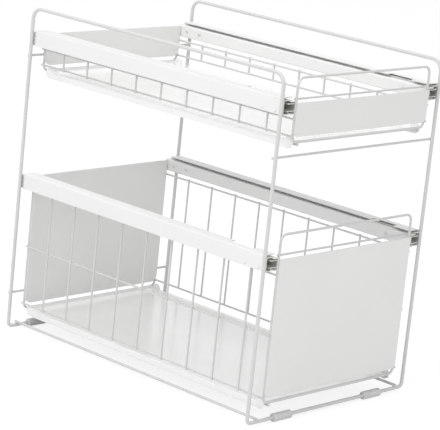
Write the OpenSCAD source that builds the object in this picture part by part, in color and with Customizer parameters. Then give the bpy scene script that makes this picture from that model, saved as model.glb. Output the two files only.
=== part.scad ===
// Two-tier under sink organizer: a bent wire frame with two pull-out wire drawers
// that run on ball-bearing slides under white sheet covers.
// The origin lies on the floor under the middle of the frame. Fronts face -Y, +Z is up.

/* [Frame] */
// Distance between the left and right post centres
post_span = 280; // [260:1:320]
// Distance between the front and rear post centres
depth_span = 422; // [380:1:460]
// Height of the top wires' centre line above the floor
top_wire_z = 416; // [412:1:460]
// Diameter of the bent frame wire
frame_wire_d = 4.5; // [4:0.1:5]
// Bend radius of the top corners, on the centre line
top_bend_r = 14; // [10:0.5:20]
// Bend radius of the bottom corners, on the centre line
bottom_bend_r = 6; // [5:0.5:9]
// Diameter of the floor runners
runner_wire_d = 3.5; // [3:0.1:4]
// Diameter of the cross wires
cross_wire_d = 3; // [2.6:0.1:3.4]
// Distance of each floor runner inside its posts, between centre lines
runner_inset = 14; // [10:0.5:20]
// Drop of the front cross wire below the upper rail's bottom edge
front_cross_drop = 50; // [46:1:100]
// Drop of the upper rear cross wire below the upper rail's bottom edge
rear_cross_drop = 13.5; // [8:0.5:60]
// Height of the lower rear cross wire above the floor
rear_cross_lower_z = 48.5; // [20:1:180]
// How far the front cross wire's ends pass the post centres
cross_overhang_front = 2; // [1.5:0.5:4]
// How far the rear cross wires' ends pass the post centres
cross_overhang_rear = 0; // [0:0.5:2]
// Height above the bottom bend at which a bottom bar meets the posts
bar_tail = 12; // [8:1:20]

/* [Feet] */
// Outer diameter of the sleeve feet
foot_d = 10; // [9:0.1:12]
// Length of a sleeve foot
foot_len = 31; // [20:1:50]
// Distance of the front sleeve feet inside the posts
foot_inset_front = 59; // [35:1:80]
// Distance of the rear sleeve feet inside the posts
foot_inset_rear = 48; // [35:1:80]
// Radius of the sleeve's rounded rims
foot_rim_r = 1.6; // [0.8:0.1:2]

/* [Rails] */
// Height of the lower rail's bottom edge above the floor
lower_rail_z = 187; // [180:1:230]
// Drop of the upper rail's bottom edge below the top wires' centre line
upper_rail_drop = 47; // [36:1:50]
// Height of a rail cover
cover_h = 19.5; // [19:0.1:24]
// Sheet thickness of the rail covers and the drawer rails
rail_sheet = 1; // [0.8:0.1:1.2]
// Outer bend radius of the folded sheets
fold_r = 1.8; // [1.4:0.1:2.4]
// Width of the cover's top flange
cover_flange_w = 17.5; // [15:0.5:18]
// Distance from the rear post centre to the rear end of a cover
cover_rear_gap = 6; // [4:0.5:12]
// Gap left for the weld between the front post and a cover
weld_gap = 0.3; // [0.2:0.05:0.5]
// Length of the notch in the cover's top flange
notch_len = 37; // [20:1:60]
// Depth of the notch in the cover's top flange
notch_w = 8; // [2:0.5:9]
// Distance of the notch's front end behind the front posts
notch_front = 28; // [15:1:60]

/* [Slides] */
// Height of the slide's outer channel
slide_h = 17; // [16:0.1:18]
// Depth of the slide's outer channel
slide_w = 10; // [9.5:0.1:11]
// Steel thickness of the slide's outer channel
slide_t = 1.1; // [1:0.05:1.2]
// Height of the slide's inner channel
inner_h = 9.4; // [9:0.1:9.8]
// Depth of the slide's inner channel
inner_w = 13; // [12:0.1:14]
// Steel thickness of the slide's inner channel
inner_t = 1; // [0.8:0.05:1.1]
// Clearance between a ball and each race
ball_gap = 0.2; // [0.15:0.05:0.3]
// Number of balls in each row of a cage
balls_per_row = 7; // [4:1:10]
// Length of a ball cage
cage_len = 104; // [80:1:120]
// Strip thickness of a ball cage
cage_t = 0.6; // [0.5:0.1:0.8]
// Diameter of the rivet and screw shanks
rivet_d = 2.2; // [1.8:0.1:2.6]
// Diameter of the rivet and screw heads
rivet_head_d = 3.6; // [3:0.1:4.2]
// Height of the rivet and screw heads
rivet_head_h = 0.9; // [0.6:0.1:1]

/* [Drawers] */
// Diameter of the drawers' front and rear loop wires
loop_wire_d = 3; // [2.6:0.1:3.4]
// Diameter of the side grid wires
grid_wire_d = 2.4; // [2:0.1:2.8]
// Bend radius of the loops' top corners
loop_top_r = 9; // [6:0.5:14]
// Bend radius of the loops' bottom corners
loop_bottom_r = 7.5; // [6:0.5:9]
// Height of the handle wire above the rail's bottom edge
handle_rise = 41.5; // [34:0.5:46]
// Height of the rear loop's top wire above the rail's bottom edge
rear_loop_rise = 12.5; // [8:0.5:16]
// Depth of the upper drawer's loop below the rail's bottom edge
upper_drop = 33; // [28:1:34]
// Depth of the lower drawer's loop below the rail's bottom edge
lower_drop = 161; // [120:1:162]
// Distance of the front loop in front of the front posts
loop_front = 1; // [0:0.5:4]
// Distance of the rear loop in front of the rear posts
loop_rear = 1; // [1:0.5:10]
// Thickness of the front and rear panels
panel_t = 1.2; // [0.8:0.1:1.6]
// How far the panels pass the loops' centre lines
panel_side = 0.5; // [0:0.1:1.4]
// Height of the front panel's top edge above the rail's bottom edge
panel_rise = 13; // [8:0.5:14]
// Height of the panels' bottom edge above the loop's bottom wire
panel_gap = 7; // [4:0.5:10]
// Radius of the front panels' bottom corners
front_corner_r = 6; // [4:0.5:14]
// Radius of the rear panels' bottom corners
rear_corner_r = 10; // [4:0.5:14]
// Gap between the slide's inner channel and the drawer rail's top flange
drawer_rail_air = 1.2; // [0.5:0.1:1.6]
// Width of the drawer rail's bottom flange
drawer_rail_foot = 5.5; // [4:0.1:6]
// Height of the transverse wire above the front panel's top edge
cross_rise = 3.7; // [3:0.1:6]

/* [Side grids] */
// Number of upright wires on each side
grid_count = 9; // [5:1:9]
// Distance of the rearmost upright from the rear loop
grid_rear = 41.5; // [30:0.5:60]
// Distance of the foremost upright from the front loop
grid_front = 36.5; // [30:0.5:60]
// Drop of the grid's top wire below the rail's bottom edge
grid_top_drop = 5.5; // [4:0.1:7]
// Height of the grid's bottom wire above the loop's bottom wire
grid_bottom_rise = 7.5; // [6:0.5:9]
// Height of the lower grids' middle wire above the bottom wire
grid_mid_rise = 75; // [40:1:100]
// How deep two grid wires sink into each other where they are welded
weld_sink = 0.3; // [0.2:0.05:0.5]
// How far an upright's end passes the wire it is welded to
upright_overhang = 1.4; // [1:0.1:2]

/* [Drawer floors] */
// Diameter of the wires that carry the floor pan
support_wire_d = 3; // [2.6:0.1:3.4]
// Distance of each support wire inside the loops' sides, between centre lines
support_inset = 9; // [8:0.5:20]
// How far the support wires' ends pass the loops' centre lines
support_overhang = 1.5; // [0.5:0.5:1.5]
// Sheet thickness of the floor pan
pan_t = 0.8; // [0.6:0.1:1]
// Distance of the pan's skirts inside the loops' side centre lines
pan_side = 3.5; // [2:0.5:5]
// Height of the floor pan's skirts
pan_skirt = 8; // [5:0.5:9]
// Radius of the skirts' lower corners
pan_skirt_r = 7; // [2:0.5:7]
// Height of the lips at the pan's front and rear ends
pan_lip = 2; // [1:0.5:4]
// Clearance between the pan's ends and the loops
pan_gap = 0.3; // [0.2:0.1:1]

/* [Hidden] */
$fn = 32;
EPS = 0.01;

// Frame places
upper_rail_z = top_wire_z - upper_rail_drop;
front_cross_z = upper_rail_z - front_cross_drop;
rear_cross_upper_z = upper_rail_z - rear_cross_drop;
post_x = post_span / 2;
post_y = depth_span / 2;
frame_r = frame_wire_d / 2;
runner_r = runner_wire_d / 2;
cross_r = cross_wire_d / 2;
bar_z = foot_d / 2;
runner_x = post_x - runner_inset;
runner_z = bar_z + frame_r + runner_r;
cross_front_y = -post_y + frame_r + cross_r;
cross_rear_y = post_y + frame_r + cross_r;
bar_joint_z = bar_z + bottom_bend_r + bar_tail;

// Rail places, measured outwards from the middle plane
slide_out_x = post_x - frame_r;
cover_out_x = slide_out_x + rail_sheet;
cover_in_x = cover_out_x - cover_flange_w;
slide_in_x = slide_out_x - slide_w;
slide_mid = slide_h / 2;
rail_y0 = -post_y - 1;
rail_y1 = post_y;
post_cut = sqrt(pow(frame_r, 2) - pow(post_x - cover_out_x, 2));
cover_y0 = -post_y + post_cut + weld_gap;
cover_y1 = post_y - cover_rear_gap;

// Drawer places
loop_r = loop_wire_d / 2;
grid_r = grid_wire_d / 2;
front_loop_y = -post_y - loop_front;
rear_loop_y = post_y - loop_rear;
drawer_rail_y0 = front_loop_y - loop_r;
drawer_rail_y1 = rear_loop_y + loop_r;

// Slide section: the balls run between the two channels' flanges
race_gap = slide_mid - slide_t - inner_h / 2;
ball_d = race_gap - 2 * ball_gap;
lip_t = inner_t;
ball_x = slide_in_x + lip_t + ball_gap + ball_d / 2;
ball_rise = inner_h / 2 + race_gap / 2;
inner_out_x = ball_x + ball_d / 2 + ball_gap + lip_t;
outer_lip = 0.9;
inner_lip = 0.7;
drawer_flange_x = slide_in_x - 1;
cage_web_x = inner_out_x + 1.9;

// Drawer widths, which follow from the slides
drawer_rail_out_x = inner_out_x - inner_w;
drawer_rail_in_x = drawer_rail_out_x - rail_sheet;
loop_half_w = drawer_rail_in_x - loop_r;
line_wire_x = drawer_rail_in_x + grid_r;
upright_x = line_wire_x + grid_wire_d - weld_sink;
panel_half_w = loop_half_w + panel_side;
pan_half_w = loop_half_w - pan_side;
support_half_w = loop_half_w - support_inset;
grid_pitch = (rear_loop_y - grid_rear - front_loop_y - grid_front) / (grid_count - 1);

// Fixings along the rails, as distances from the front and rear posts
cover_rivet_y = [31, 10];
screw_front_y = [36];
screw_rear_y = [38, 15];
rivet_rise = fold_r + rivet_head_d / 2 + 0.2;
bore_slack = 0.2;
bore_reach = 8;

// Height of the lower grids' middle wire
lower_mid_z = lower_rail_z - lower_drop + grid_bottom_rise + grid_mid_rise;

WHITE = [0.93, 0.93, 0.92];
PANEL = [0.88, 0.88, 0.87];
ZINC = [0.55, 0.56, 0.53];
SLEEVE = [0.80, 0.80, 0.79];
STEEL = [0.70, 0.71, 0.72];

// A part made for the right side, drawn on the side that s names: 1 right, -1 left
module side(s) {
    if (s > 0) children();
    else mirror([1, 0, 0]) children();
}

// Stands a drawing in the XY plane upright, its Y becoming Z and its X staying X
module stand() { rotate([90, 0, 0]) children(); }

// A straight wire from p to q
module rod(p, q, d) {
    v = q - p;
    run = norm([v.x, v.y]);
    translate(p)
        rotate([0, atan2(run, v.z), atan2(v.y, v.x)])
            cylinder(h = norm(v), d = d);
}

function turn(a, b, c) =
    let (u = b - a, v = c - b)
    atan2(u.x * v.y - u.y * v.x, u.x * v.x + u.y * v.y);

// Length that a bend of radius r takes from each of its straights
function setback(a, b, c, r) = r * tan(abs(turn(a, b, c)) / 2);

function toward(a, b, s) = a + (b - a) * s / norm(b - a);

// One round bend at corner b of the flat path a, b, c
module bend(a, b, c, r, d) {
    angle = turn(a, b, c);
    hand = angle > 0 ? 1 : -1;
    start = toward(b, a, setback(a, b, c, r));
    heading = atan2(b.y - a.y, b.x - a.x);
    centre = start + r * hand * [-sin(heading), cos(heading)];
    translate([centre.x, centre.y, 0])
        rotate(heading - hand * 90 + (hand > 0 ? 0 : angle))
            rotate_extrude(angle = abs(angle))
                translate([r, 0])
                    circle(d = d);
}

// An open wire bent in the XY plane through the points, one radius for each inner point
module bent_wire(points, radii, d) {
    n = len(points);
    for (i = [0 : n - 2]) {
        cut_a = i == 0 ? 0 : setback(points[i - 1], points[i], points[i + 1], radii[i - 1]);
        cut_b = i == n - 2 ? 0 : setback(points[i], points[i + 1], points[i + 2], radii[i]);
        a = toward(points[i], points[i + 1], cut_a);
        b = toward(points[i + 1], points[i], cut_b);
        rod([a.x, a.y, 0], [b.x, b.y, 0], d);
    }
    for (i = [1 : n - 2])
        bend(points[i - 1], points[i], points[i + 1], radii[i - 1], d);
}

// A closed rectangular wire loop, from z0 to z1, with its own radii below and above
module wire_loop(half_w, z0, z1, r_bottom, r_top, d) {
    corners = [[-half_w, z0], [half_w, z0], [half_w, z1], [-half_w, z1]];
    radii = [r_bottom, r_bottom, r_top, r_top];
    stand()
        for (i = [0 : 3]) {
            before = corners[(i + 3) % 4];
            here = corners[i];
            after = corners[(i + 1) % 4];
            a = toward(here, after, radii[i]);
            b = toward(after, here, radii[(i + 1) % 4]);
            rod([a.x, a.y, 0], [b.x, b.y, 0], d);
            bend(before, here, after, radii[i], d);
        }
}

// Frame

// One side of the frame: a post, the top wire and the other post in one bend
module side_frame(s) {
    color(WHITE)
        side(s)
            translate([post_x, 0, 0])
                rotate([0, 0, 90])
                    stand()
                        bent_wire([[-post_y, bar_joint_z], [-post_y, top_wire_z],
                                   [post_y, top_wire_z], [post_y, bar_joint_z]],
                                  [top_bend_r, top_bend_r], frame_wire_d);
}

// A bottom bar with its upturned ends, which meet the posts
module bottom_bar(y) {
    color(WHITE)
        translate([0, y, 0])
            stand()
                bent_wire([[-post_x, bar_joint_z], [-post_x, bar_z],
                           [post_x, bar_z], [post_x, bar_joint_z]],
                          [bottom_bend_r, bottom_bend_r], frame_wire_d);
}

// A floor runner, welded on top of both bottom bars
module floor_runner(s) {
    reach = post_y + frame_r;
    color(WHITE)
        rod([s * runner_x, -reach, runner_z], [s * runner_x, reach, runner_z], runner_wire_d);
}

// A cross wire, welded to the inner or rear side of two posts
module cross_wire(y, z, overhang) {
    reach = post_x + overhang;
    color(WHITE)
        rod([-reach, y, z], [reach, y, z], cross_wire_d);
}

// A soft sleeve over a bottom bar, with rounded rims and a bore for the bar
module foot_sleeve(sx, sy) {
    bore_r = frame_r + 0.05;
    foot_r = foot_d / 2;
    half = foot_len / 2;
    inset = sy < 0 ? foot_inset_front : foot_inset_rear;
    color(SLEEVE)
        translate([sx * (post_x - inset), sy * post_y, bar_z])
            rotate([0, 90, 0])
                rotate_extrude()
                    difference() {
                        union() {
                            translate([0, -half + foot_rim_r])
                                square([foot_r, foot_len - 2 * foot_rim_r]);
                            translate([0, -half])
                                square([foot_r - foot_rim_r, foot_len]);
                            for (e = [-1, 1])
                                translate([foot_r - foot_rim_r, e * (half - foot_rim_r)])
                                    circle(r = foot_rim_r);
                        }
                        translate([-foot_r, -foot_len])
                            square([foot_r + bore_r, 2 * foot_len]);
                    }
}

// Rails

// Quarter ring of a fold, with its corner at the origin and its legs towards +X and +Y
module fold(r, t) {
    intersection() {
        square(r);
        difference() {
            translate([r, r]) circle(r = r);
            translate([r, r]) circle(r = r - t);
        }
    }
}

// A strip of folded sheet seen from its end: a web up the Y axis of height h with
// flanges of width bottom_w and top_w towards +X, where a width of 0 leaves one out
module folded_section(h, bottom_w, top_w, t, r) {
    low = bottom_w > 0 ? r : 0;
    high = top_w > 0 ? r : 0;
    translate([0, low]) square([t, h - low - high]);
    if (bottom_w > 0) {
        fold(r, t);
        translate([r, 0]) square([bottom_w - r, t]);
    }
    if (top_w > 0) {
        translate([0, h]) mirror([0, 1]) fold(r, t);
        translate([r, h - t]) square([top_w - r, t]);
    }
}

// Runs a section along the depth from y0 to y1, its X becoming X and its Y becoming Z
module run_section(y0, y1) {
    translate([0, y1, 0])
        rotate([90, 0, 0])
            linear_extrude(y1 - y0)
                children();
}

// White cover over a slide: a web between the posts and a flange over the slide
module rail_cover(s, z) {
    color(WHITE)
        side(s)
            difference() {
                run_section(cover_y0, cover_y1)
                    translate([cover_out_x, z])
                        mirror([1, 0])
                            folded_section(cover_h, 0, cover_flange_w, rail_sheet, fold_r);
                // Notch along the flange's free edge near the front
                translate([cover_in_x - 1, -post_y + notch_front, z + cover_h - 2 * rail_sheet])
                    cube([notch_w + 1, notch_len, 3 * rail_sheet]);
                rivet_holes(cover_out_x, z);
            }
}

// Bores for the rivets that join a cover and its slide
module rivet_holes(x, z) {
    for (d = cover_rivet_y)
        translate([x - bore_reach / 2, -post_y + d, z + rivet_rise])
            rotate([0, 90, 0])
                cylinder(h = bore_reach, d = rivet_d + bore_slack);
}

// Outer channel of a slide, with lips that keep the balls in their races
module slide_outer(s, z) {
    color(ZINC)
        side(s)
            difference() {
                run_section(rail_y0, rail_y1)
                    translate([slide_out_x, z])
                        mirror([1, 0]) {
                            folded_section(slide_h, slide_w, slide_w, slide_t, fold_r);
                            for (low = [slide_t - EPS, slide_h - slide_t - outer_lip + EPS])
                                translate([slide_w - lip_t, low])
                                    square([lip_t, outer_lip]);
                        }
                rivet_holes(cover_out_x, z);
            }
}

// Ball cage: a thin channel between the two slide channels, carrying two rows of balls
module ball_cage(s, z) {
    pitch = cage_len / balls_per_row;
    color(STEEL)
        side(s)
            translate([0, 0, z + slide_mid]) {
                run_section(-cage_len / 2, cage_len / 2)
                    translate([cage_web_x + cage_t, -ball_rise - cage_t / 2])
                        mirror([1, 0])
                            folded_section(2 * ball_rise + cage_t,
                                           cage_web_x + cage_t - ball_x + 0.8,
                                           cage_web_x + cage_t - ball_x + 0.8,
                                           cage_t, 1);
                for (row = [-1, 1], i = [0 : balls_per_row - 1])
                    translate([ball_x, (i - (balls_per_row - 1) / 2) * pitch, row * ball_rise])
                        sphere(d = ball_d);
            }
}

// One rivet along X: its outer head ends at x1 and its inner head starts at x0
module rivet(x0, x1) {
    rotate([0, 90, 0]) {
        translate([0, 0, x0 - rivet_head_h]) cylinder(h = rivet_head_h, d = rivet_head_d);
        translate([0, 0, x0 - EPS]) cylinder(h = x1 - x0 + 2 * EPS, d = rivet_d);
        translate([0, 0, x1]) cylinder(h = rivet_head_h, d = rivet_head_d);
    }
}

module cover_rivets() {
    color(ZINC)
        for (s = [-1, 1], z = [lower_rail_z, upper_rail_z], d = cover_rivet_y)
            side(s)
                translate([0, -post_y + d, z + rivet_rise])
                    rivet(slide_out_x - slide_t, cover_out_x);
}

// Drawers. Each drawer is drawn from its rail's bottom edge z and its loop's depth drop below it

// Front loop, whose raised top wire is the handle
module front_loop(z, drop) {
    color(WHITE)
        translate([0, front_loop_y, 0])
            wire_loop(loop_half_w, z - drop, z + handle_rise,
                      loop_bottom_r, loop_top_r, loop_wire_d);
}

module rear_loop(z, drop) {
    color(WHITE)
        translate([0, rear_loop_y, 0])
            wire_loop(loop_half_w, z - drop, z + rear_loop_rise,
                      loop_bottom_r, loop_bottom_r, loop_wire_d);
}

// Transverse wire across the front loop, a little above the panel
module drawer_cross_wire(z) {
    y = front_loop_y + loop_r + grid_r;
    zc = z + panel_rise + cross_rise;
    color(WHITE)
        rod([-loop_half_w, y, zc], [loop_half_w, y, zc], grid_wire_d);
}

// A flat panel of half width w from z0 to z1, its back at y, with bottom corners of radius r
module panel(w, z0, z1, y, r) {
    color(PANEL)
        translate([0, y, 0])
            rotate([90, 0, 0])
                linear_extrude(panel_t) {
                    translate([-w, z0 + r]) square([2 * w, z1 - z0 - r]);
                    translate([-w + r, z0]) square([2 * (w - r), r + EPS]);
                    for (e = [-1, 1]) translate([e * (w - r), z0 + r]) circle(r = r);
                }
}

module front_panel(z, drop) {
    panel(panel_half_w, z - drop + panel_gap, z + panel_rise, front_loop_y - loop_r,
          front_corner_r);
}

module rear_panel(z, drop) {
    panel(panel_half_w, z - drop + panel_gap, z + rear_loop_rise + loop_r,
          rear_loop_y - loop_r, rear_corner_r);
}

// Side grid: wires along the depth with upright wires welded across their outer side
module side_grid(s, z, drop, heights) {
    low = z - drop + grid_bottom_rise;
    high = z - grid_top_drop;
    color(WHITE)
        side(s) {
            for (h = concat([low, high], heights))
                rod([line_wire_x, drawer_rail_y0, h], [line_wire_x, drawer_rail_y1, h], grid_wire_d);
            for (i = [0 : grid_count - 1]) {
                y = rear_loop_y - grid_rear - i * grid_pitch;
                rod([upright_x, y, low - upright_overhang],
                    [upright_x, y, high + upright_overhang], grid_wire_d);
            }
        }
}

// Drawer rail: a folded sheet channel that wraps the slide's inner channel
module drawer_rail(s, z) {
    top = slide_mid + inner_h / 2 + drawer_rail_air + rail_sheet;
    color(WHITE)
        side(s)
            difference() {
                run_section(drawer_rail_y0, drawer_rail_y1)
                    translate([drawer_rail_in_x, z])
                        folded_section(top, drawer_rail_foot, drawer_flange_x - drawer_rail_in_x,
                                       rail_sheet, fold_r);
                screw_holes(z);
            }
}

// Inner channel of a slide, open towards the outer channel, with lips behind the balls
module slide_inner(s, z) {
    w = inner_out_x - drawer_rail_out_x;
    color(ZINC)
        side(s)
            difference() {
                run_section(drawer_rail_y0, drawer_rail_y1)
                    translate([drawer_rail_out_x, z + slide_mid - inner_h / 2]) {
                        folded_section(inner_h, w, w, inner_t, fold_r);
                        for (low = [-inner_lip, inner_h - EPS])
                            translate([w - lip_t, low]) square([lip_t, inner_lip + EPS]);
                    }
                screw_holes(z);
            }
}

// Places of the screws along a drawer rail
function screw_places() = concat([for (d = screw_front_y) -post_y + d],
                                 [for (d = screw_rear_y) post_y - d]);

module screw_holes(z) {
    for (y = screw_places())
        translate([drawer_rail_in_x - bore_reach / 2, y, z + slide_mid])
            rotate([0, 90, 0])
                cylinder(h = bore_reach, d = rivet_d + bore_slack);
}

module drawer_screws(z) {
    color(STEEL)
        for (s = [-1, 1], y = screw_places())
            side(s)
                translate([0, y, z + slide_mid])
                    rivet(drawer_rail_in_x, drawer_rail_out_x + inner_t);
}

// Two straight wires under the loops' bottom wires that carry the floor pan
module support_wires(z, drop) {
    zc = z - drop - loop_r - support_wire_d / 2;
    y0 = front_loop_y - support_overhang;
    y1 = rear_loop_y + support_overhang;
    color(WHITE)
        for (s = [-1, 1])
            rod([s * support_half_w, y0, zc], [s * support_half_w, y1, zc], support_wire_d);
}

// Floor pan: a flat sheet on the support wires, with hanging skirts and raised end lips
module floor_pan(z, drop) {
    y0 = front_loop_y + loop_r + pan_gap;
    y1 = rear_loop_y - loop_r - pan_gap;
    floor_z = z - drop - loop_r;
    low = floor_z + pan_t - pan_skirt;
    r = pan_skirt_r;
    color(WHITE) {
        run_section(y0, y1) {
            translate([-pan_half_w + fold_r, floor_z])
                square([2 * (pan_half_w - fold_r), pan_t]);
            for (e = [0, 1])
                mirror([e, 0])
                    translate([pan_half_w, floor_z + pan_t])
                        rotate(180)
                            fold(fold_r, pan_t);
        }
        for (e = [-1, 1])
            translate([e > 0 ? pan_half_w - pan_t : -pan_half_w, 0, 0])
                rotate([90, 0, 90])
                    linear_extrude(pan_t) {
                        translate([y0, low + r])
                            square([y1 - y0, floor_z + pan_t - fold_r - low - r]);
                        translate([y0 + r, low]) square([y1 - y0 - 2 * r, r + EPS]);
                        for (end = [y0 + r, y1 - r]) translate([end, low + r]) circle(r = r);
                    }
        for (y = [y0, y1 - pan_t])
            translate([-pan_half_w + fold_r, y, floor_z])
                cube([2 * (pan_half_w - fold_r), pan_t, pan_t + pan_lip]);
    }
}

side_frame(-1);  // side_frame_left
side_frame(1);  // side_frame_right
bottom_bar(-post_y);  // bottom_bar_front
bottom_bar(post_y);  // bottom_bar_rear
floor_runner(-1);  // floor_runner_left
floor_runner(1);  // floor_runner_right
cross_wire(cross_front_y, front_cross_z, cross_overhang_front);  // cross_wire_front
cross_wire(cross_rear_y, rear_cross_upper_z, cross_overhang_rear);  // cross_wire_rear_upper
cross_wire(cross_rear_y, rear_cross_lower_z, cross_overhang_rear);  // cross_wire_rear_lower
foot_sleeve(-1, -1);  // foot_sleeve_front_left
foot_sleeve(1, -1);  // foot_sleeve_front_right
foot_sleeve(-1, 1);  // foot_sleeve_rear_left
foot_sleeve(1, 1);  // foot_sleeve_rear_right
rail_cover(-1, upper_rail_z);  // rail_cover_upper_left
rail_cover(1, upper_rail_z);  // rail_cover_upper_right
rail_cover(-1, lower_rail_z);  // rail_cover_lower_left
rail_cover(1, lower_rail_z);  // rail_cover_lower_right
slide_outer(-1, upper_rail_z);  // slide_outer_upper_left
slide_outer(1, upper_rail_z);  // slide_outer_upper_right
slide_outer(-1, lower_rail_z);  // slide_outer_lower_left
slide_outer(1, lower_rail_z);  // slide_outer_lower_right
cover_rivets();
ball_cage(-1, upper_rail_z);  // ball_cage_upper_left
ball_cage(1, upper_rail_z);  // ball_cage_upper_right
ball_cage(-1, lower_rail_z);  // ball_cage_lower_left
ball_cage(1, lower_rail_z);  // ball_cage_lower_right
front_loop(upper_rail_z, upper_drop);  // upper_front_loop
rear_loop(upper_rail_z, upper_drop);  // upper_rear_loop
drawer_cross_wire(upper_rail_z);  // upper_cross_wire
front_panel(upper_rail_z, upper_drop);  // upper_front_panel
rear_panel(upper_rail_z, upper_drop);  // upper_rear_panel
side_grid(-1, upper_rail_z, upper_drop, []);  // upper_side_grid_left
side_grid(1, upper_rail_z, upper_drop, []);  // upper_side_grid_right
drawer_rail(-1, upper_rail_z);  // upper_drawer_rail_left
drawer_rail(1, upper_rail_z);  // upper_drawer_rail_right
slide_inner(-1, upper_rail_z);  // upper_slide_inner_left
slide_inner(1, upper_rail_z);  // upper_slide_inner_right
support_wires(upper_rail_z, upper_drop);  // upper_support_wires
floor_pan(upper_rail_z, upper_drop);  // upper_floor_pan
drawer_screws(upper_rail_z);  // upper_screws
front_loop(lower_rail_z, lower_drop);  // lower_front_loop
rear_loop(lower_rail_z, lower_drop);  // lower_rear_loop
drawer_cross_wire(lower_rail_z);  // lower_cross_wire
front_panel(lower_rail_z, lower_drop);  // lower_front_panel
rear_panel(lower_rail_z, lower_drop);  // lower_rear_panel
side_grid(-1, lower_rail_z, lower_drop, [lower_mid_z]);  // lower_side_grid_left
side_grid(1, lower_rail_z, lower_drop, [lower_mid_z]);  // lower_side_grid_right
drawer_rail(-1, lower_rail_z);  // lower_drawer_rail_left
drawer_rail(1, lower_rail_z);  // lower_drawer_rail_right
slide_inner(-1, lower_rail_z);  // lower_slide_inner_left
slide_inner(1, lower_rail_z);  // lower_slide_inner_right
support_wires(lower_rail_z, lower_drop);  // lower_support_wires
floor_pan(lower_rail_z, lower_drop);  // lower_floor_pan
drawer_screws(lower_rail_z);  // lower_screws
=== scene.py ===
# %% [markdown]
# # A two-tier under sink organizer
# The organizer is a bent wire frame with two wire drawers on ball-bearing slides.
# Its wires, sheets and slide channels come ready shaped from the imported model, so this
# lesson finishes them: it lays powder coat and zinc on them, adds the weld beads and the
# real screw heads, and sets up the studio.

# %% Load the imported model
import math

import bmesh
import bpy
from mathutils import Matrix, Vector


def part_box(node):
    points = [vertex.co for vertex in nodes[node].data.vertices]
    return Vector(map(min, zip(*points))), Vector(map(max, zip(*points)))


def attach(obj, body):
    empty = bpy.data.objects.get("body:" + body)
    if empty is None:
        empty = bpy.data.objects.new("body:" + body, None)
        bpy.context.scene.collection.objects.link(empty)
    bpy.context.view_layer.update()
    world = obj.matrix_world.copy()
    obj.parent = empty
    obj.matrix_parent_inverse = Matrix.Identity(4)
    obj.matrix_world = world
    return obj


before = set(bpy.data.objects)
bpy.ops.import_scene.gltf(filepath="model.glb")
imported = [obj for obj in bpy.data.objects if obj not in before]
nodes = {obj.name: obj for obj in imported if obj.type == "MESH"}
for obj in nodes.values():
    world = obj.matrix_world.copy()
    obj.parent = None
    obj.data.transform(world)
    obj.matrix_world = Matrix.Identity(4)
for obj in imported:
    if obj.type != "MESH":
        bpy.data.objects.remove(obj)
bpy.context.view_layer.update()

MM = 0.001

# %% [markdown]
# ## The camera
# A camera is easiest to place from three turns: round the object, above the horizon, and
# a roll about its own line of sight. The three unit vectors below are the camera's own
# X, Y and Z, and they fill the columns of its matrix. A long lens keeps the verticals
# nearly parallel, as in a catalogue picture.

# %% Place the camera
VIEW_TURN = math.radians(-47.251)
VIEW_RISE = math.radians(13.64)
VIEW_ROLL = math.radians(5.947)
CAMERA_PLACE = Vector((-1.98099, -1.83715, 0.84422))


def camera_matrix():
    back = Vector((math.sin(VIEW_TURN) * math.cos(VIEW_RISE),
                   -math.cos(VIEW_TURN) * math.cos(VIEW_RISE),
                   math.sin(VIEW_RISE)))
    right = Vector((math.cos(VIEW_TURN), math.sin(VIEW_TURN), 0))
    up = back.cross(right)
    across = math.cos(VIEW_ROLL) * right + math.sin(VIEW_ROLL) * up
    upward = -math.sin(VIEW_ROLL) * right + math.cos(VIEW_ROLL) * up
    turn = Matrix((across, upward, back)).transposed().to_4x4()
    return Matrix.Translation(CAMERA_PLACE) @ turn


LENS_LENGTH = 183.52
SENSOR_WIDTH = 36
lens = bpy.data.cameras.new("camera")
lens.lens = LENS_LENGTH
lens.sensor_width = SENSOR_WIDTH
lens.sensor_fit = "HORIZONTAL"
lens.clip_start = 0.05
lens.clip_end = 60
camera = bpy.data.objects.new("camera", lens)
bpy.context.collection.objects.link(camera)
camera.matrix_world = camera_matrix()
bpy.context.scene.camera = camera
print("camera at", [round(v, 3) for v in camera.location])

# %% [markdown]
# ## Helpers for node materials
# Every finish here starts from the same few steps: object coordinates, a noise at the
# scale of the real grain, and a ramp or range that turns it into colour, roughness or
# bump. Object coordinates are in metres, so a noise scale of 1000 gives grains of about
# a millimetre. Writing these steps once keeps each finish short.

# %% Material helpers


def new_finish(name):
    mat = bpy.data.materials.new(name)
    mat.use_nodes = True
    shader = mat.node_tree.nodes["Principled BSDF"]
    return mat, mat.node_tree, shader


def add(tree, kind, **settings):
    made = tree.nodes.new(kind)
    for key, value in settings.items():
        setattr(made, key, value)
    return made


def grain(tree, scale, detail=3.0, stretch=(1, 1, 1)):
    place = add(tree, "ShaderNodeTexCoord")
    mapping = add(tree, "ShaderNodeMapping")
    mapping.inputs["Scale"].default_value = stretch
    noise = add(tree, "ShaderNodeTexNoise")
    noise.inputs["Scale"].default_value = scale
    noise.inputs["Detail"].default_value = detail
    tree.links.new(place.outputs["Object"], mapping.inputs["Vector"])
    tree.links.new(mapping.outputs["Vector"], noise.inputs["Vector"])
    return noise.outputs["Fac"]


NOISE_LOW, NOISE_HIGH = 0.3, 0.7


def spread(tree, value, low, high):
    ranged = add(tree, "ShaderNodeMapRange")
    ranged.inputs["From Min"].default_value = NOISE_LOW
    ranged.inputs["From Max"].default_value = NOISE_HIGH
    ranged.inputs["To Min"].default_value = low
    ranged.inputs["To Max"].default_value = high
    tree.links.new(value, ranged.inputs["Value"])
    return ranged.outputs["Result"]


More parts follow.
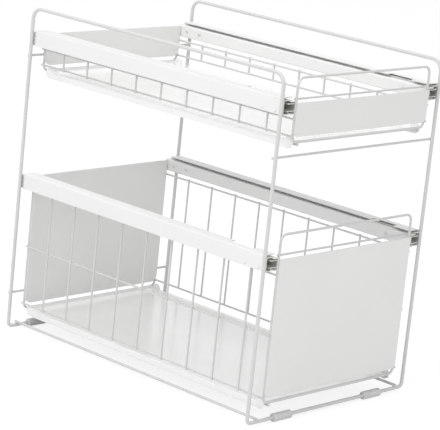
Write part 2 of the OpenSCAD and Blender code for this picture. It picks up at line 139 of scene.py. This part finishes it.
def shade_between(tree, value, dark, light):
    mix = add(tree, "ShaderNodeMix", data_type="RGBA")
    mix.inputs["A"].default_value = (*dark, 1)
    mix.inputs["B"].default_value = (*light, 1)
    tree.links.new(spread(tree, value, 0, 1), mix.inputs["Factor"])
    return mix.outputs["Result"]


def relief(tree, value, distance, strength, edge=0.0):
    bump = add(tree, "ShaderNodeBump")
    bump.inputs["Strength"].default_value = strength
    bump.inputs["Distance"].default_value = distance
    tree.links.new(value, bump.inputs["Height"])
    if edge:
        soft = add(tree, "ShaderNodeBevel", samples=4)
        soft.inputs["Radius"].default_value = edge
        tree.links.new(soft.outputs["Normal"], bump.inputs["Normal"])
    return bump.outputs["Normal"]


def tint(colour, factor):
    return tuple(min(1, c * factor) for c in colour)


# %% [markdown]
# ## White powder coat
# Powder coat is a baked polymer skin of about 0.08 mm. It is semi-gloss, with a faint
# orange peel of two or three millimetres, and it rounds every cut edge. One function
# makes it for the wires, the folded rails, the panels and the pans. The peel is the same
# on all but the pans, which are glossier and almost without it. Two broader noises cloud
# the colour and the roughness a little.

# %% Powder coats
CLOUD_DARK, CLOUD_LIGHT = 0.985, 1.012
PEEL, PAN_PEEL = 0.00004, 0.00001
ROUNDED_EDGE = 0.0004


def powder_coat(name, colour, roughness, peel, edge, coat=0.12):
    mat, tree, shader = new_finish(name)
    link = tree.links.new
    cloud = grain(tree, scale=9, detail=4)
    fine = grain(tree, scale=420, detail=5)
    link(shade_between(tree, cloud, tint(colour, CLOUD_DARK), tint(colour, CLOUD_LIGHT)),
         shader.inputs["Base Color"])
    patches = grain(tree, scale=60, detail=4)
    link(spread(tree, patches, roughness - 0.05, roughness + 0.06),
         shader.inputs["Roughness"])
    shader.inputs["Specular IOR Level"].default_value = 0.42
    shader.inputs["Coat Weight"].default_value = coat
    shader.inputs["Coat Roughness"].default_value = 0.22
    link(relief(tree, fine, peel, strength=0.25, edge=edge), shader.inputs["Normal"])
    return mat


# The wire coat is a darker copy of the same white powder coat. Its lower colour is painted
# shade, standing in for the shade on the thin round wires.
shaded_wire_coat = powder_coat("wire_powder_coat_painted_shade", (0.65, 0.65, 0.64), 0.36, PEEL, 0)
rail_coat = powder_coat("rail_powder_coat", (0.82, 0.82, 0.815), 0.38, PEEL, ROUNDED_EDGE)
panel_coat = powder_coat("panel_powder_coat", (0.815, 0.815, 0.805), 0.40, PEEL, ROUNDED_EDGE)
pan_coat = powder_coat("pan_powder_coat", (0.93, 0.93, 0.925), 0.16, PAN_PEEL, 0, coat=0.7)
print("powder coats:", shaded_wire_coat.name, rail_coat.name, panel_coat.name, pan_coat.name)

# %% [markdown]
# ## Zinc-plated steel
# The slides are cold rolled from zinc-plated strip. The plating is dull and grey-green,
# clouded at a few centimetres, with fine streaks along the rolling direction, which is
# the depth of the organizer. A noise squeezed across and stretched along Y draws them.

# %% Zinc and steel
ROLLED_ALONG_Y = (1, 0.03, 1)


def rolled_zinc(name, dark, light, low, high, streak, shine):
    mat, tree, shader = new_finish(name)
    link = tree.links.new
    clouds = grain(tree, scale=40, detail=6)
    streaks = grain(tree, scale=streak, detail=4, stretch=ROLLED_ALONG_Y)
    link(shade_between(tree, clouds, dark, light), shader.inputs["Base Color"])
    link(spread(tree, streaks, low, high), shader.inputs["Roughness"])
    shader.inputs["Metallic"].default_value = shine
    link(relief(tree, streaks, distance=0.00002, strength=0.3), shader.inputs["Normal"])
    return mat


slide_zinc = rolled_zinc("slide_zinc", (0.58, 0.59, 0.56), (0.68, 0.69, 0.66),
                         low=0.40, high=0.55, streak=900, shine=0.3)
cage_steel = rolled_zinc("cage_steel", (0.60, 0.61, 0.61), (0.72, 0.73, 0.73),
                         low=0.24, high=0.38, streak=1200, shine=0.5)
screw_steel = rolled_zinc("screw_steel", (0.60, 0.61, 0.60), (0.72, 0.73, 0.72),
                          low=0.28, high=0.42, streak=1500, shine=0.4)
print("zinc and steel:", slide_zinc.name, cage_steel.name, screw_steel.name)

# %% [markdown]
# ## Soft sleeve plastic
# The feet are cut from soft grey-white tube. The plastic lets a little light in, has a
# matt skin and picks up scuffs where it stands, which a stretched noise gives.

# %% Sleeve plastic


def sleeve_plastic():
    mat, tree, shader = new_finish("sleeve_plastic")
    link = tree.links.new
    scuff = grain(tree, scale=260, detail=6, stretch=(0.25, 1, 1))
    link(shade_between(tree, scuff, (0.60, 0.60, 0.59), (0.70, 0.70, 0.69)),
         shader.inputs["Base Color"])
    link(spread(tree, scuff, 0.5, 0.68), shader.inputs["Roughness"])
    shader.inputs["Subsurface Weight"].default_value = 0.08
    shader.inputs["Subsurface Radius"].default_value = (0.002, 0.002, 0.002)
    link(relief(tree, scuff, distance=0.00008, strength=0.4), shader.inputs["Normal"])
    return mat


foot_plastic = sleeve_plastic()
print("feet:", foot_plastic.name)

# %% [markdown]
# ## Finishing the ready-made pieces
# Each piece of the imported model keeps its mesh and only gets a finish, picked by a word in
# its name.

# %% Hand out the finishes
FINISHES = [("foot_sleeve", foot_plastic), ("slide_", slide_zinc), ("ball_cage", cage_steel),
            ("rivets", rail_coat), ("screws", screw_steel), ("panel", panel_coat),
            ("floor_pan", pan_coat), ("rail_cover", rail_coat), ("drawer_rail", rail_coat)]


def finish_for(name):
    for word, mat in FINISHES:
        if word in name:
            return mat
    return shaded_wire_coat


for name, piece in nodes.items():
    piece.data.materials.clear()
    piece.data.materials.append(finish_for(name))
print("finished", len(nodes), "pieces")

# %% [markdown]
# ## Weld beads
# Crossing wires are resistance welded: both are squeezed until they sink into each other
# and a small collar of metal comes out, which the powder then rounds. Each collar is an
# ico sphere squashed to the size of the weld. There are more than a hundred, so each has
# only 80 faces, and all of one body are joined in one mesh.

# %% Bead helper


def bead_piece(name, body, beads):
    bm = bmesh.new()
    for place, radii in beads:
        size = Matrix.Diagonal((*[r * MM for r in radii], 1))
        spot = Matrix.Translation(Vector(place) * MM)
        bmesh.ops.create_icosphere(bm, subdivisions=2, radius=1, matrix=spot @ size)
    mesh = bpy.data.meshes.new(name)
    for face in bm.faces:
        face.smooth = True
    bm.to_mesh(mesh)
    bm.free()
    mesh.materials.append(shaded_wire_coat)
    piece = bpy.data.objects.new(name, mesh)
    bpy.context.collection.objects.link(piece)
    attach(piece, body)
    print(name, len(beads), "beads")


def middle(node):
    low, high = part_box(node)
    return [(a + b) / 2 / MM for a, b in zip(low, high)]


# %% Beads of the standing frame
POST_X, POST_Y = 140, 211
POST_RADIUS = 2.25
RUNNER_WELD_Z = 7.3
COVER_WELD_X = 138.3
COVER_WELD_RISES = (5, 13)
RUNNER_BEAD = (2.6, 2.2, 1.3)
CROSS_BEAD = (2.2, 1.3, 2.2)
COVER_BEAD = (0.9, 1.2, 2.4)
frame_beads = []
for side in (-1, 1):
    runner = middle("floor_runner_left" if side < 0 else "floor_runner_right")
    for end in (-1, 1):
        frame_beads.append(((runner[0], end * POST_Y, RUNNER_WELD_Z), RUNNER_BEAD))
    for node in ("cross_wire_front", "cross_wire_rear_upper", "cross_wire_rear_lower"):
        _, wire_y, wire_z = middle(node)
        touch = math.copysign(POST_Y, wire_y) + POST_RADIUS
        frame_beads.append(((side * POST_X, touch, wire_z), CROSS_BEAD))
    for tier in ("upper", "lower"):
        low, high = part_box("rail_cover_" + tier + "_right")
        for end in (low[1], high[1]):
            for rise in COVER_WELD_RISES:
                spot = (side * COVER_WELD_X, end / MM, low[2] / MM + rise)
                frame_beads.append((spot, COVER_BEAD))
bead_piece("frame_weld_beads", "frame", frame_beads)

# %% Beads of each drawer
UPRIGHTS = 9
UPRIGHT_PITCH = 43
FIRST_UPRIGHT = 41.5
EDGE_WIRE_IN = 1.4
MIDDLE_WIRE_RISE = 75
SUPPORT_IN = 10.5
LOOP_RADIUS = 1.5
UPRIGHT_BEAD = (1.0, 1.7, 1.7)
LOOP_BEAD = (1.1, 1.8, 1.7)
SUPPORT_BEAD = (1.8, 1.4, 1.0)
FRONT_WIRE_BEAD = (1.5, 1.0, 1.6)
for tier, levels in (("upper", 2), ("lower", 3)):
    beads = []
    front_y = middle(tier + "_front_loop")[1]
    rear_y = middle(tier + "_rear_loop")[1]
    grid_low, grid_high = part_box(tier + "_side_grid_right")
    rail_x = middle(tier + "_side_grid_right")[0]
    loop_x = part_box(tier + "_front_loop")[1][0] / MM
    low_z = grid_low[2] / MM + EDGE_WIRE_IN
    high_z = grid_high[2] / MM - EDGE_WIRE_IN
    heights = [low_z, high_z] + ([low_z + MIDDLE_WIRE_RISE] if levels == 3 else [])
    for side in (-1, 1):
        for height in heights:
            for step in range(UPRIGHTS):
                y = rear_y - FIRST_UPRIGHT - step * UPRIGHT_PITCH
                beads.append(((side * rail_x, y, height), UPRIGHT_BEAD))
            for y in (front_y, rear_y):
                beads.append(((side * loop_x, y, height), LOOP_BEAD))
        loop_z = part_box(tier + "_front_loop")[0][2] / MM
        for y in (front_y, rear_y):
            beads.append(((side * (loop_x - SUPPORT_IN), y, loop_z), SUPPORT_BEAD))
        wire_z = middle(tier + "_cross_wire")[2]
        beads.append(((side * (loop_x - LOOP_RADIUS), front_y + LOOP_RADIUS, wire_z),
                      FRONT_WIRE_BEAD))
    bead_piece(tier + "_weld_beads", tier + "_drawer", beads)

# %% [markdown]
# ## Screw and rivet heads
# The drawer rails are screwed to the slides with small pan heads that have a cross
# recess, and the covers are riveted through with plain domes. A head is a turned shape,
# so its half outline is spun round the axis. The recess is cut by two thin blocks with
# Boolean modifiers, whose result is then kept as the mesh of every screw.

# %% Turn one head
HEAD_OUTLINE = [(0, 0.50), (0.7, 0.46), (1.3, 0.28), (1.75, 0.02),
                (1.9, -0.25), (1.9, -0.88), (0, -0.88)]
HEAD_STEPS = 24
MERGE_WITHIN = 0.00001
RECESS_BLADES = ((2.2, 0.5, 0.7), (0.5, 2.2, 0.7))
BLADE_RISE = 0.45


def turned_head(name):
    bm = bmesh.new()
    outline = [bm.verts.new((r * MM, 0, h * MM)) for r, h in HEAD_OUTLINE]
    edges = [bm.edges.new(pair) for pair in zip(outline, outline[1:])]
    bmesh.ops.spin(bm, geom=outline + edges, axis=(0, 0, 1), cent=(0, 0, 0),
                   angle=math.tau, steps=HEAD_STEPS, use_merge=True)
    bmesh.ops.remove_doubles(bm, verts=bm.verts, dist=MERGE_WITHIN)
    bmesh.ops.recalc_face_normals(bm, faces=bm.faces)
    mesh = bpy.data.meshes.new(name)
    bm.to_mesh(mesh)
    bm.free()
    return mesh


def cut_cross(mesh):
    work = bpy.data.objects.new("head_work", mesh)
    bpy.context.collection.objects.link(work)
    blades = []
    for blade_size in RECESS_BLADES:
        bm = bmesh.new()
        size = Matrix.Diagonal((*[v * MM for v in blade_size], 1))
        spot = Matrix.Translation((0, 0, BLADE_RISE * MM))
        bmesh.ops.create_cube(bm, size=1, matrix=spot @ size)
        blade_mesh = bpy.data.meshes.new("blade")
        bm.to_mesh(blade_mesh)
        bm.free()
        blade = bpy.data.objects.new("blade", blade_mesh)
        bpy.context.collection.objects.link(blade)
        cut = work.modifiers.new("cut", "BOOLEAN")
        cut.operation = "DIFFERENCE"
        cut.object = blade
        blades.append(blade)
    ready = work.evaluated_get(bpy.context.evaluated_depsgraph_get())
    result = bpy.data.meshes.new_from_object(ready)
    for spare in blades + [work]:
        bpy.data.objects.remove(spare)
    return result


rivet_dome = turned_head("rivet_dome")
screw_head = cut_cross(turned_head("screw_head"))
print("rivet dome", len(rivet_dome.polygons), "faces, screw head", len(screw_head.polygons))

# %% Set the heads
SMOOTH_UP_TO = math.radians(40)


def head_piece(name, body, mat, head, places):
    bm = bmesh.new()
    for place, side in places:
        start = len(bm.verts)
        bm.from_mesh(head)
        bm.verts.ensure_lookup_table()
        turn = Matrix.Rotation(side * math.pi / 2, 4, "Y")
        bmesh.ops.transform(bm, matrix=Matrix.Translation(Vector(place) * MM) @ turn,
                            verts=bm.verts[start:])
    for face in bm.faces:
        face.smooth = True
    for edge in bm.edges:
        edge.smooth = edge.calc_face_angle(0) < SMOOTH_UP_TO
    mesh = bpy.data.meshes.new(name)
    bm.to_mesh(mesh)
    bm.free()
    mesh.materials.append(mat)
    piece = bpy.data.objects.new(name, mesh)
    bpy.context.collection.objects.link(piece)
    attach(piece, body)
    print(name, len(places), "heads")


SCREW_RISE, HEAD_SEAT = 8.5, 0.9
SCREW_YS = (-175, 173, 196)
for tier in ("upper", "lower"):
    low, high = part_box(tier + "_drawer_rail_right")
    screw_z = low[2] / MM + SCREW_RISE
    inner_x = low[0] / MM - HEAD_SEAT
    places = [((side * inner_x, y, screw_z), -side)
              for side in (-1, 1) for y in SCREW_YS]
    head_piece(tier + "_screw_heads", tier + "_drawer",
               screw_steel, screw_head, places)

RIVET_RISE = 3.8
RIVET_YS = (-180, -201)
_, rivet_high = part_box("cover_rivets")
domes = []
for tier in ("upper", "lower"):
    low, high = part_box("rail_cover_" + tier + "_right")
    for side in (-1, 1):
        for y in RIVET_YS:
            domes.append(((side * rivet_high[0] / MM, y, low[2] / MM + RIVET_RISE), side))
head_piece("rivet_domes", "frame", rail_coat, rivet_dome, domes)

# %% [markdown]
# ## The studio
# A plain pale floor and soft light show white goods best: a large lamp from above
# brightens the pans and flanges, weaker ones on the left and in front shade each wire
# towards its right side, and the world fills the rest. The floor shows nearly white to
# the camera, but keeps a soft shadow under the organizer.

# %% Floor
FLOOR_HALF_WIDTH = 8
bm = bmesh.new()
bmesh.ops.create_grid(bm, x_segments=1, y_segments=1, size=FLOOR_HALF_WIDTH)
floor_mesh = bpy.data.meshes.new("floor")
bm.to_mesh(floor_mesh)
bm.free()
floor = bpy.data.objects.new("floor", floor_mesh)
bpy.context.collection.objects.link(floor)

floor_mat = bpy.data.materials.new("studio_floor")
floor_mat.use_nodes = True
floor_tree = floor_mat.node_tree
floor_shader = floor_tree.nodes["Principled BSDF"]
floor_shader.inputs["Base Color"].default_value = (0.9, 0.9, 0.9, 1)
floor_shader.inputs["Roughness"].default_value = 0.9
floor_shader.inputs["Specular IOR Level"].default_value = 0.1


def seen_directly(tree):
    path = add(tree, "ShaderNodeLightPath")
    first = add(tree, "ShaderNodeMath", operation="MAXIMUM")
    second = add(tree, "ShaderNodeMath", operation="MAXIMUM")
    tree.links.new(path.outputs["Is Camera Ray"], first.inputs[0])
    tree.links.new(path.outputs["Is Glossy Ray"], first.inputs[1])
    tree.links.new(first.outputs[0], second.inputs[0])
    tree.links.new(path.outputs["Is Transmission Ray"], second.inputs[1])
    return second.outputs[0]


SHADOW_KEPT = 0.25
FLOOR_GLOW = 1.1
glow = add(floor_tree, "ShaderNodeEmission")
glow.inputs["Strength"].default_value = FLOOR_GLOW
share = add(floor_tree, "ShaderNodeMath", operation="MULTIPLY")
share.inputs[1].default_value = 1 - SHADOW_KEPT
blend = add(floor_tree, "ShaderNodeMixShader")
floor_tree.links.new(seen_directly(floor_tree), share.inputs[0])
floor_tree.links.new(share.outputs[0], blend.inputs[0])
floor_tree.links.new(floor_shader.outputs[0], blend.inputs[1])
floor_tree.links.new(glow.outputs[0], blend.inputs[2])
floor_tree.links.new(blend.outputs[0], floor_tree.nodes["Material Output"].inputs["Surface"])
floor_mesh.materials.append(floor_mat)
print("floor:", floor_mat.name, "keeps", SHADOW_KEPT, "of the shadow")

# %% World
FILL_LIGHT = 0.68
world = bpy.data.worlds.new("studio")
world.use_nodes = True
bpy.context.scene.world = world
sky = world.node_tree
backdrop = sky.nodes["Background"]
strength = add(sky, "ShaderNodeMapRange")
strength.inputs["To Min"].default_value = FILL_LIGHT
strength.inputs["To Max"].default_value = 1.0
sky.links.new(seen_directly(sky), strength.inputs["Value"])
sky.links.new(strength.outputs["Result"], backdrop.inputs["Strength"])
backdrop.inputs["Color"].default_value = (1, 1, 1, 1)
print("world fills with", FILL_LIGHT)

# %% Lamps
LAMP_AIM = Vector((0, 0, 0.2))


def soft_lamp(name, place, size, power):
    light = bpy.data.lights.new(name, "AREA")
    light.shape = "SQUARE"
    light.size = size
    light.energy = power
    lamp = bpy.data.objects.new(name, light)
    lamp.location = place
    aim = LAMP_AIM - Vector(place)
    lamp.rotation_euler = aim.to_track_quat("-Z", "Y").to_euler()
    bpy.context.collection.objects.link(lamp)
    print("lamp", name, "power", power)


soft_lamp("top", (-0.7, 0.3, 2.6), size=1.5, power=24)
soft_lamp("left", (-2.2, -0.5, 1.5), size=1.0, power=12)
soft_lamp("front", (-0.3, -2.4, 1.3), size=1.2, power=5)

scene = bpy.context.scene
scene.view_settings.view_transform = "Standard"
